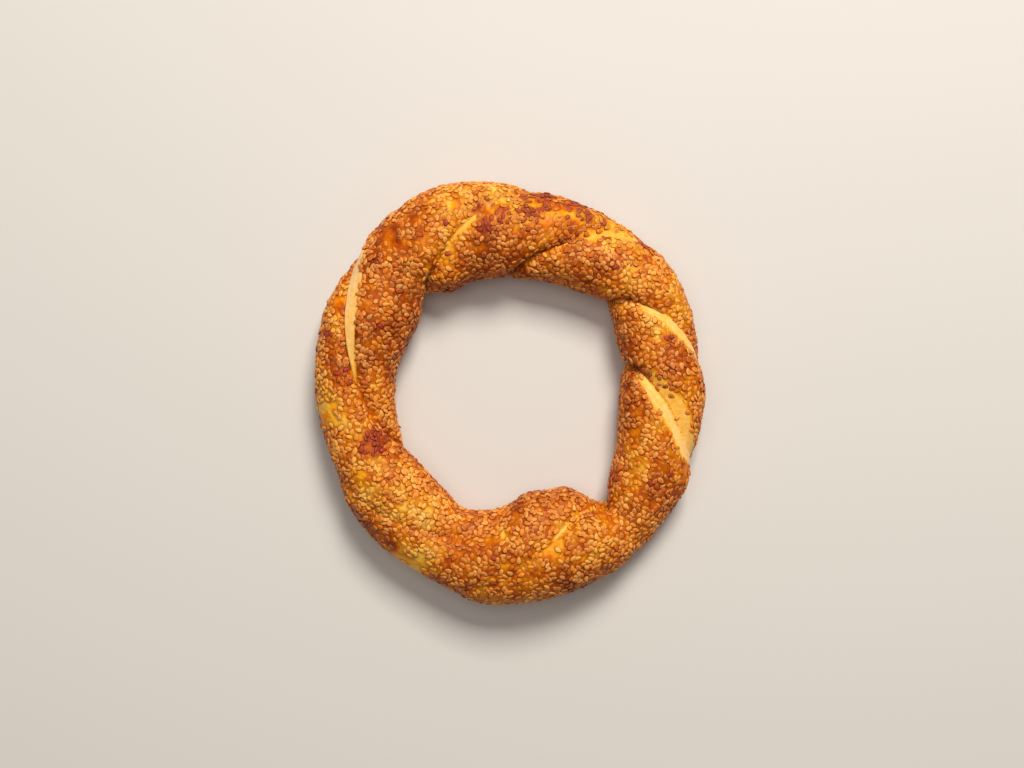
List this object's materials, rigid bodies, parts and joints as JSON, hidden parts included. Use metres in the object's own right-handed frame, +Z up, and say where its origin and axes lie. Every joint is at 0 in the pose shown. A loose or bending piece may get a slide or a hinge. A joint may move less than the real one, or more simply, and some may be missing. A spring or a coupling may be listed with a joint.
{
  "type": "simit",
  "caption": "Twisted bread ring: two strands of dough wound together and closed into a ring, baked flat and coated in sesame seeds.",
  "frame": {"origin": "centre of the bounding box's underside, in the middle of the ring's hole on the surface that it lies on", "axes": "+Z up, out of the crust's top; +Y towards the side with the darkest toasted seeds; the hole runs along Z"},
  "size_m": [0.1559, 0.1688, 0.0303],
  "materials": {
    "crust": "browned bread crust with a dull glaze",
    "sesame": "toasted sesame seeds, satin"
  },
  "bodies": {
    "root": {"simit": "crust"}
  },
  "joints": []
}
